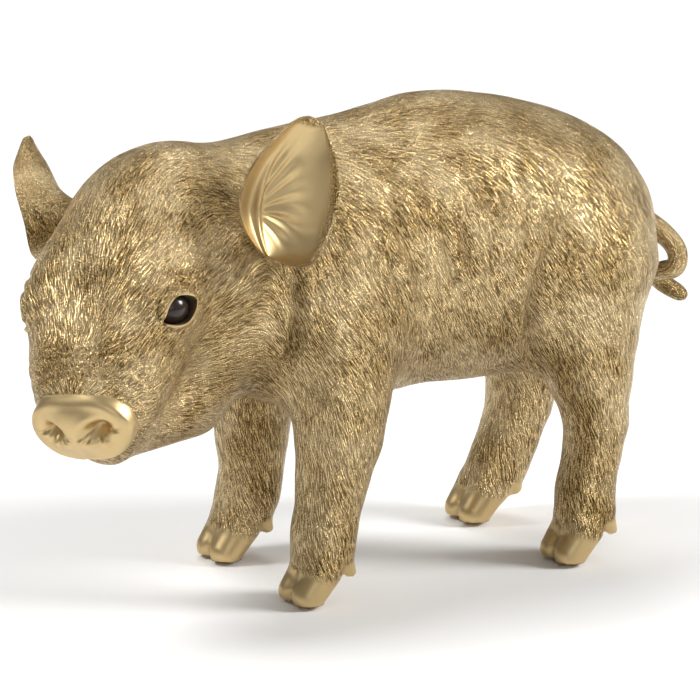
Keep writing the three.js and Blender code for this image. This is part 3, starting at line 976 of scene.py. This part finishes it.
class Nodes:
    """Adds and links nodes in a tree. A socket is linked, and any other value is set."""

    def __init__(self, tree):
        self.tree = tree

    def add(self, kind, inputs=None, **facts):
        node = self.tree.nodes.new(kind)
        for fact, value in facts.items():
            setattr(node, fact, value)
        for socket, value in (inputs or {}).items():
            self.put(node.inputs[socket], value)
        return node

    def put(self, socket, value):
        if isinstance(value, bpy.types.NodeSocket):
            self.tree.links.new(value, socket)
        else:
            socket.default_value = value

    def math(self, operation, *values, clamp=False):
        node = self.add("ShaderNodeMath", operation=operation, use_clamp=clamp)
        for socket, value in zip(node.inputs, values):
            self.put(socket, value)
        return node.outputs[0]

    def vector(self, operation, first, second=None, scale=None):
        node = self.add("ShaderNodeVectorMath", operation=operation)
        self.put(node.inputs[0], first)
        if second is not None:
            self.put(node.inputs[1], second)
        if scale is not None:
            self.put(node.inputs["Scale"], scale)
        return node.outputs[0]

    def ease(self, value, low, high, to_low=0.0, to_high=1.0, kind="SMOOTHSTEP"):
        node = self.add("ShaderNodeMapRange", interpolation_type=kind)
        for socket, number in zip(node.inputs[:5], (value, low, high, to_low, to_high)):
            self.put(socket, number)
        return node.outputs[0]

    def mix(self, share, first, second):
        node = self.add("ShaderNodeMix", data_type="RGBA")
        for socket, value in ((node.inputs[0], share), (node.inputs[6], first), (node.inputs[7], second)):
            self.put(socket, value)
        return node.outputs[2]

    def noise(self, place, scale, detail=2.0, roughness=0.5):
        node = self.add("ShaderNodeTexNoise", {
            "Vector": place, "Scale": scale, "Detail": detail, "Roughness": roughness,
        })
        return node.outputs[0]

    def attribute(self, name, output="Fac"):
        return self.add("ShaderNodeAttribute", attribute_name=name).outputs[output]

    def place(self):
        return self.add("ShaderNodeTexCoord").outputs["Object"]


def new_group(name, inputs, outputs):
    group = bpy.data.node_groups.new(name, "ShaderNodeTree")
    for direction, sockets in (("INPUT", inputs), ("OUTPUT", outputs)):
        for socket, kind in sockets.items():
            group.interface.new_socket(socket, in_out=direction, socket_type=kind)
    nodes = Nodes(group)
    given = group.nodes.new("NodeGroupInput").outputs
    result = group.nodes.new("NodeGroupOutput").inputs
    return group, nodes, given, result


def combed_coat():
    """Fine strands that follow the comb: noise averaged along the way each strand lies."""
    if "combed coat" in bpy.data.node_groups:
        return bpy.data.node_groups["combed coat"]
    group, nodes, given, result = new_group(
        "combed coat",
        {"Comb": "NodeSocketVector", "Strand Width": "NodeSocketFloat", "Strand Length": "NodeSocketFloat"},
        {"Height": "NodeSocketFloat", "Clump": "NodeSocketFloat"},
    )
    place = nodes.place()
    scale = nodes.math("DIVIDE", 1.0, given["Strand Width"])

    def averaged(shares, grain, detail):
        """Noise averaged at shares of the strand's length along the comb."""
        total = None
        for share in shares:
            shift = nodes.math("MULTIPLY", given["Strand Length"], share)
            spot = nodes.vector("ADD", place, nodes.vector("SCALE", given["Comb"], scale=shift))
            value = nodes.noise(spot, grain, detail)
            total = value if total is None else nodes.math("ADD", total, value)
        return nodes.math("DIVIDE", total, float(len(shares)))

    strand = averaged([i / 6 - 0.5 for i in range(7)], scale, 0.0)
    clump = averaged([-0.6, 0.0, 0.6], nodes.math("MULTIPLY", scale, 0.36), 1.0)
    nodes.put(result["Height"], nodes.ease(strand, 0.415, 0.585))
    nodes.put(result["Clump"], nodes.ease(clump, 0.36, 0.64))
    return group


def hammered_mottle():
    """Uneven rubbing and pitting of a hand-finished surface."""
    if "hand mottle" in bpy.data.node_groups:
        return bpy.data.node_groups["hand mottle"]
    group, nodes, given, result = new_group(
        "hand mottle", {"Size": "NodeSocketFloat"}, {"Mottle": "NodeSocketFloat", "Fine": "NodeSocketFloat"}
    )
    place = nodes.place()
    scale = nodes.math("DIVIDE", 1.0, given["Size"])
    nodes.put(result["Mottle"], nodes.ease(nodes.noise(place, scale, 4.0, 0.6), 0.3, 0.7))
    nodes.put(result["Fine"], nodes.noise(place, nodes.math("MULTIPLY", scale, 14.0), 3.0, 0.6))
    return group


def use_group(nodes, group, inputs):
    node = nodes.add("ShaderNodeGroup", node_tree=group)
    for socket, value in inputs.items():
        nodes.put(node.inputs[socket], value)
    return node.outputs


def finish(build):
    """Makes a material of the function's name once, and gives the same one after that."""
    name = build.__name__

    def made():
        if name not in bpy.data.materials:
            material = bpy.data.materials.new(name)
            material.use_nodes = True
            tree = material.node_tree
            build(Nodes(tree), tree.nodes["Principled BSDF"], settings())
        return bpy.data.materials[name]

    return made


BARE_IRON = (0.05, 0.042, 0.036, 1)
DARK_RIM = (0.012, 0.007, 0.004, 1)
BROWN_STREAK = (0.10, 0.05, 0.02, 1)


@finish
def gilded_iron(nodes, shader, look):
    """Worn champagne gilding over a dark wash between the strands, with painted shade darkening folds and
    hollows, combed as a coat, and satin where the coat ends.
    """
    coat = nodes.attribute("coat")
    hollow = nodes.attribute("hollow")
    raw = nodes.attribute("raw")
    strands = use_group(nodes, combed_coat(), {
        "Comb": nodes.attribute("comb", "Vector"),
        "Strand Width": look.strand_width,
        "Strand Length": look.strand_length,
    })
    mottle = use_group(nodes, hammered_mottle(), {"Size": 0.02})
    strand = nodes.math(
        "ADD", nodes.math("MULTIPLY", strands["Height"], 0.7), nodes.math("MULTIPLY", strands["Clump"], 0.3)
    )
    # The dark wash between the strands is the gilding's own; the hollow mask below adds painted shade in
    # folds, creases and the ear's concha.
    gaps = nodes.math("MULTIPLY", nodes.ease(strand, 0.68, 0.34, kind="LINEAR"), coat)
    depth = nodes.math("MULTIPLY", hollow, 0.32)
    patina_and_shade = nodes.math("ADD", nodes.math("MULTIPLY", gaps, 0.95), depth, clamp=True)
    patina_and_shade = nodes.math("MULTIPLY", patina_and_shade, nodes.ease(mottle["Mottle"], 0.0, 1.0, 1.0, 0.72))
    gold = nodes.mix(mottle["Mottle"], (*look.gold_deep, 1), (*look.gold, 1))
    gold = nodes.mix(coat, (*look.gold_satin, 1), gold)
    gilding_with_wash_and_shade = nodes.mix(patina_and_shade, gold, (*look.patina_and_shade, 1))
    colour = nodes.mix(raw, gilding_with_wash_and_shade, BARE_IRON)
    nodes.put(shader.inputs["Base Color"], colour)
    rough = nodes.ease(patina_and_shade, 0.0, 1.0, 0.25, 0.52, "LINEAR")
    rough = nodes.math("ADD", rough, nodes.ease(coat, 0.0, 1.0, 0.16, 0.0, "LINEAR"))
    uneven = nodes.math("MULTIPLY", nodes.math("SUBTRACT", mottle["Fine"], 0.5), 0.16)
    rough = nodes.math("ADD", rough, uneven)
    nodes.put(shader.inputs["Roughness"], nodes.math("MAXIMUM", rough, nodes.math("MULTIPLY", raw, 0.8)))
    nodes.put(shader.inputs["Metallic"], nodes.ease(raw, 0.0, 1.0, 1.0, 0.35, "LINEAR"))
    relief = nodes.math("MULTIPLY", strand, coat)
    bump = nodes.add("ShaderNodeBump", {
        "Strength": 1.0, "Distance": look.strand_relief, "Height": relief,
    })
    satin = nodes.add("ShaderNodeBump", {
        "Strength": 0.25, "Distance": 0.0001, "Height": mottle["Fine"], "Normal": bump.outputs[0],
    })
    nodes.put(shader.inputs["Normal"], satin.outputs[0])


@finish
def eye_glass(nodes, shader, look):
    """Nearly black glass with a brown edge."""
    place = nodes.place()
    uneven = nodes.math("MULTIPLY", nodes.math("SUBTRACT", nodes.noise(place, 900.0, 3.0), 0.5), 0.06)
    gaze = nodes.math("ADD", nodes.attribute("gaze"), uneven)
    ring = IRIS_RADIUS / EYE_RADIUS
    streaks = nodes.noise(place, 2600.0, 2.0)
    edge_colour = nodes.mix(streaks, (*look.eye_edge, 1), BROWN_STREAK)
    colour = nodes.mix(nodes.ease(gaze, ring - 0.03, ring + 0.05), (*look.eye_dark, 1), edge_colour)
    from_edge = nodes.math("ABSOLUTE", nodes.math("SUBTRACT", gaze, ring + 0.02))
    edge = nodes.ease(from_edge, 0.0, 0.06, 1.0, 0.0)
    colour = nodes.mix(nodes.math("MULTIPLY", edge, 0.8), colour, DARK_RIM)
    nodes.put(shader.inputs["Base Color"], colour)
    nodes.put(shader.inputs["Roughness"], nodes.ease(streaks, 0.3, 0.7, 0.06, 0.09, "LINEAR"))
    shader.inputs["Specular IOR Level"].default_value = 0.1
    shader.inputs["Coat Weight"].default_value = 0.06
    shader.inputs["Coat Roughness"].default_value = 0.02


@finish
def stopper_rubber(nodes, shader, look):
    """Dull dark rubber, a little dusty."""
    mottle = use_group(nodes, hammered_mottle(), {"Size": 0.006})
    dusty = tuple(min(1.0, channel * 2.2 + 0.01) for channel in look.rubber)
    nodes.put(shader.inputs["Base Color"], nodes.mix(mottle["Mottle"], (*look.rubber, 1), (*dusty, 1)))
    nodes.put(shader.inputs["Roughness"], nodes.ease(mottle["Fine"], 0.2, 0.8, 0.55, 0.8, "LINEAR"))
    bump = nodes.add("ShaderNodeBump", {"Strength": 0.5, "Distance": 0.0001, "Height": mottle["Fine"]})
    nodes.put(shader.inputs["Normal"], bump.outputs[0])


@finish
def felt(nodes, shader, look):
    """Short matted fibres."""
    place = nodes.place()
    fibres = nodes.noise(place, 2400.0, 6.0, 0.75)
    pale = tuple(min(1.0, channel * 2.0 + 0.02) for channel in look.felt)
    colour = nodes.mix(nodes.ease(fibres, 0.3, 0.7), (*look.felt, 1), (*pale, 1))
    nodes.put(shader.inputs["Base Color"], colour)
    nodes.put(shader.inputs["Roughness"], nodes.ease(fibres, 0.2, 0.8, 0.85, 1.0, "LINEAR"))
    shader.inputs["Sheen Weight"].default_value = 0.4
    bump = nodes.add("ShaderNodeBump", {"Strength": 0.8, "Distance": 0.0002, "Height": fibres})
    nodes.put(shader.inputs["Normal"], bump.outputs[0])


@finish
def pale_floor(nodes, shader, look):
    shader.inputs["Base Color"].default_value = (0.86, 0.86, 0.855, 1)
    shader.inputs["Roughness"].default_value = 0.9


# --- Stage ---------------------------------------------------------------------------------------------

CAMERA_BACK = Vector((0.475, 0.836, 0.272))
CAMERA_AIM = Vector((np.array([5.0, -29.5, 80.7]) + SHIFT) * MM)
CAMERA_DISTANCE = 6.0
FRAME_WIDTH = 0.2822
SENSOR = 36
FLOOR_RADIUS = 14
# (name, place in metres, size in metres, power in watts)
LIGHTS = (
    ("key", (1.30, -0.45, 1.7), 0.8, 27),
    ("side", (-1.55, 0.95, 1.25), 0.8, 42),
    ("fill", (0.9, 1.9, 0.9), 1.0, 4),
    ("top", (-0.45, -1.15, 1.75), 1.0, 13),
)


def area_light(name, place, size, power):
    """A round soft light aimed at the middle of the object."""
    light = bpy.data.lights.new(name, "AREA")
    light.shape = "DISK"
    light.size = size
    light.energy = power
    lamp = bpy.data.objects.new(name, light)
    lamp.location = place
    lamp.rotation_mode = "QUATERNION"
    lamp.rotation_quaternion = (Vector((0, 0, 0.1)) - Vector(place)).to_track_quat("-Z", "Y")
    bpy.context.scene.collection.objects.link(lamp)


def stage():
    bm = bmesh.new()
    bmesh.ops.create_circle(bm, cap_ends=True, segments=96, radius=FLOOR_RADIUS)
    face_out(bm)
    if next(iter(bm.faces)).normal.z < 0:
        bmesh.ops.reverse_faces(bm, faces=bm.faces)
    floor = workpiece(bm, "floor")
    floor.data.materials.append(pale_floor())

    scene = bpy.context.scene
    world = bpy.data.worlds.new("studio")
    world.use_nodes = True
    nodes = Nodes(world.node_tree)
    skyward = nodes.add("ShaderNodeTexCoord").outputs["Generated"]
    height = nodes.add("ShaderNodeSeparateXYZ", {"Vector": skyward})
    glow = nodes.ease(height.outputs["Z"], 0.0, 0.8, 0.35, 1.0)
    background = world.node_tree.nodes["Background"]
    nodes.put(background.inputs["Color"], nodes.mix(glow, (0, 0, 0, 1), (1, 1, 1, 1)))
    background.inputs["Strength"].default_value = settings().studio_fill
    scene.world = world
    scene.view_settings.view_transform = "Standard"

    for light in LIGHTS:
        area_light(*light)

    camera = bpy.data.cameras.new("camera")
    camera.sensor_width = SENSOR
    camera.lens = SENSOR * CAMERA_DISTANCE / FRAME_WIDTH
    camera.clip_end = 50
    eye_point = bpy.data.objects.new("camera", camera)
    back = CAMERA_BACK.normalized()
    eye_point.location = CAMERA_AIM + back * CAMERA_DISTANCE
    eye_point.rotation_mode = "QUATERNION"
    eye_point.rotation_quaternion = back.to_track_quat("Z", "Y")
    scene.collection.objects.link(eye_point)
    scene.camera = eye_point


# --- Settings, operators and panel ---------------------------------------------------------------------

def colour_setting(name, description, default):
    return bpy.props.FloatVectorProperty(
        name=name, description=description, default=default, size=3, subtype="COLOR", min=0, max=1
    )


def length_setting(name, description, default):
    return bpy.props.FloatProperty(
        name=name, description=description, default=default, min=1e-5, unit="LENGTH", precision=5
    )


class PigletBankSettings(bpy.types.PropertyGroup):
    skin_cell: length_setting("Skin Cell", "Size of the casting's faces before refining", 0.0021)
    strand_width: length_setting("Strand Width", "Width of one strand of the cut coat", 0.00032)
    strand_length: length_setting("Strand Length", "Length of one strand of the cut coat", 0.0021)
    strand_relief: length_setting("Strand Relief", "Depth of the cut between strands", 0.00030)
    gold: colour_setting("Gold", "Bright rubbed gilding", (0.78, 0.605, 0.335))
    gold_deep: colour_setting("Deep Gold", "Warmer gilding in the mottle", (0.58, 0.41, 0.175))
    gold_satin: colour_setting("Satin Gold", "Smooth gilding on snout, ears and hooves", (0.64, 0.48, 0.245))
    # This dark brown is both the wash between the strands and the painted shade in folds and hollows.
    patina_and_shade: colour_setting("Patina", "Dark brown left between the strands", (0.07, 0.037, 0.010))
    eye_dark: colour_setting("Eye", "Dark middle of the glass eyes", (0.006, 0.005, 0.006))
    eye_edge: colour_setting("Eye Edge", "Brown round the middle of the eyes", (0.26, 0.17, 0.08))
    rubber: colour_setting("Rubber", "Stopper rubber", (0.030, 0.027, 0.024))
    felt: colour_setting("Felt", "Pads under the hooves", (0.11, 0.08, 0.05))
    studio_fill: bpy.props.FloatProperty(
        name="Studio Fill", description="Strength of the even light all round", default=0.32, min=0
    )


class PigletOperator:
    bl_options = {"REGISTER", "UNDO"}


class BANK_OT_body_casting(PigletOperator, bpy.types.Operator):
    """Models the hollow casting of head, trunk and legs"""

    bl_idname = "bank.body_casting"
    bl_label = "Body Casting"

    def execute(self, context):
        body_casting()
        return {"FINISHED"}


class BANK_OT_ears(PigletOperator, bpy.types.Operator):
    """Models the two cupped ears"""

    bl_idname = "bank.ears"
    bl_label = "Ears"

    def execute(self, context):
        for name in EARS:
            ear(name)
        return {"FINISHED"}


class BANK_OT_tail(PigletOperator, bpy.types.Operator):
    """Models the curled tail"""

    bl_idname = "bank.tail"
    bl_label = "Tail"

    def execute(self, context):
        tail()
        return {"FINISHED"}


class BANK_OT_eyes(PigletOperator, bpy.types.Operator):
    """Models the glass eyes"""

    bl_idname = "bank.eyes"
    bl_label = "Eyes"

    def execute(self, context):
        for side, sign in SIDES:
            eye(side, sign)
        return {"FINISHED"}


class BANK_OT_stopper(PigletOperator, bpy.types.Operator):
    """Models the rubber stopper in the belly"""

    bl_idname = "bank.stopper"
    bl_label = "Stopper"

    def execute(self, context):
        stopper()
        return {"FINISHED"}


class BANK_OT_pads(PigletOperator, bpy.types.Operator):
    """Models the felt pads under the hooves"""

    bl_idname = "bank.pads"
    bl_label = "Felt Pads"

    def execute(self, context):
        for name in LEGS:
            pad(name)
        return {"FINISHED"}


class BANK_OT_stage(PigletOperator, bpy.types.Operator):
    """Sets out the floor, the lights and the camera"""

    bl_idname = "bank.stage"
    bl_label = "Stage"

    def execute(self, context):
        stage()
        return {"FINISHED"}


OPERATORS = (
    BANK_OT_body_casting, BANK_OT_ears, BANK_OT_tail, BANK_OT_eyes, BANK_OT_stopper, BANK_OT_pads,
    BANK_OT_stage,
)


class VIEW3D_PT_piglet_bank(bpy.types.Panel):
    bl_label = "Piglet Bank"
    bl_space_type = "VIEW_3D"
    bl_region_type = "UI"
    bl_category = "Piglet Bank"

    def draw(self, context):
        for name in PigletBankSettings.__annotations__:
            self.layout.prop(context.scene.piglet_bank, name)
        for operator in OPERATORS:
            self.layout.operator(operator.bl_idname)


CLASSES = (PigletBankSettings, *OPERATORS, VIEW3D_PT_piglet_bank)


def register():
    for each in CLASSES:
        bpy.utils.register_class(each)
    bpy.types.Scene.piglet_bank = bpy.props.PointerProperty(type=PigletBankSettings)


def unregister():
    del bpy.types.Scene.piglet_bank
    for each in reversed(CLASSES):
        bpy.utils.unregister_class(each)


def main():
    register()
    for operator in OPERATORS:
        group, name = operator.bl_idname.split(".")
        getattr(getattr(bpy.ops, group), name)()


if __name__ == "__main__":
    main()
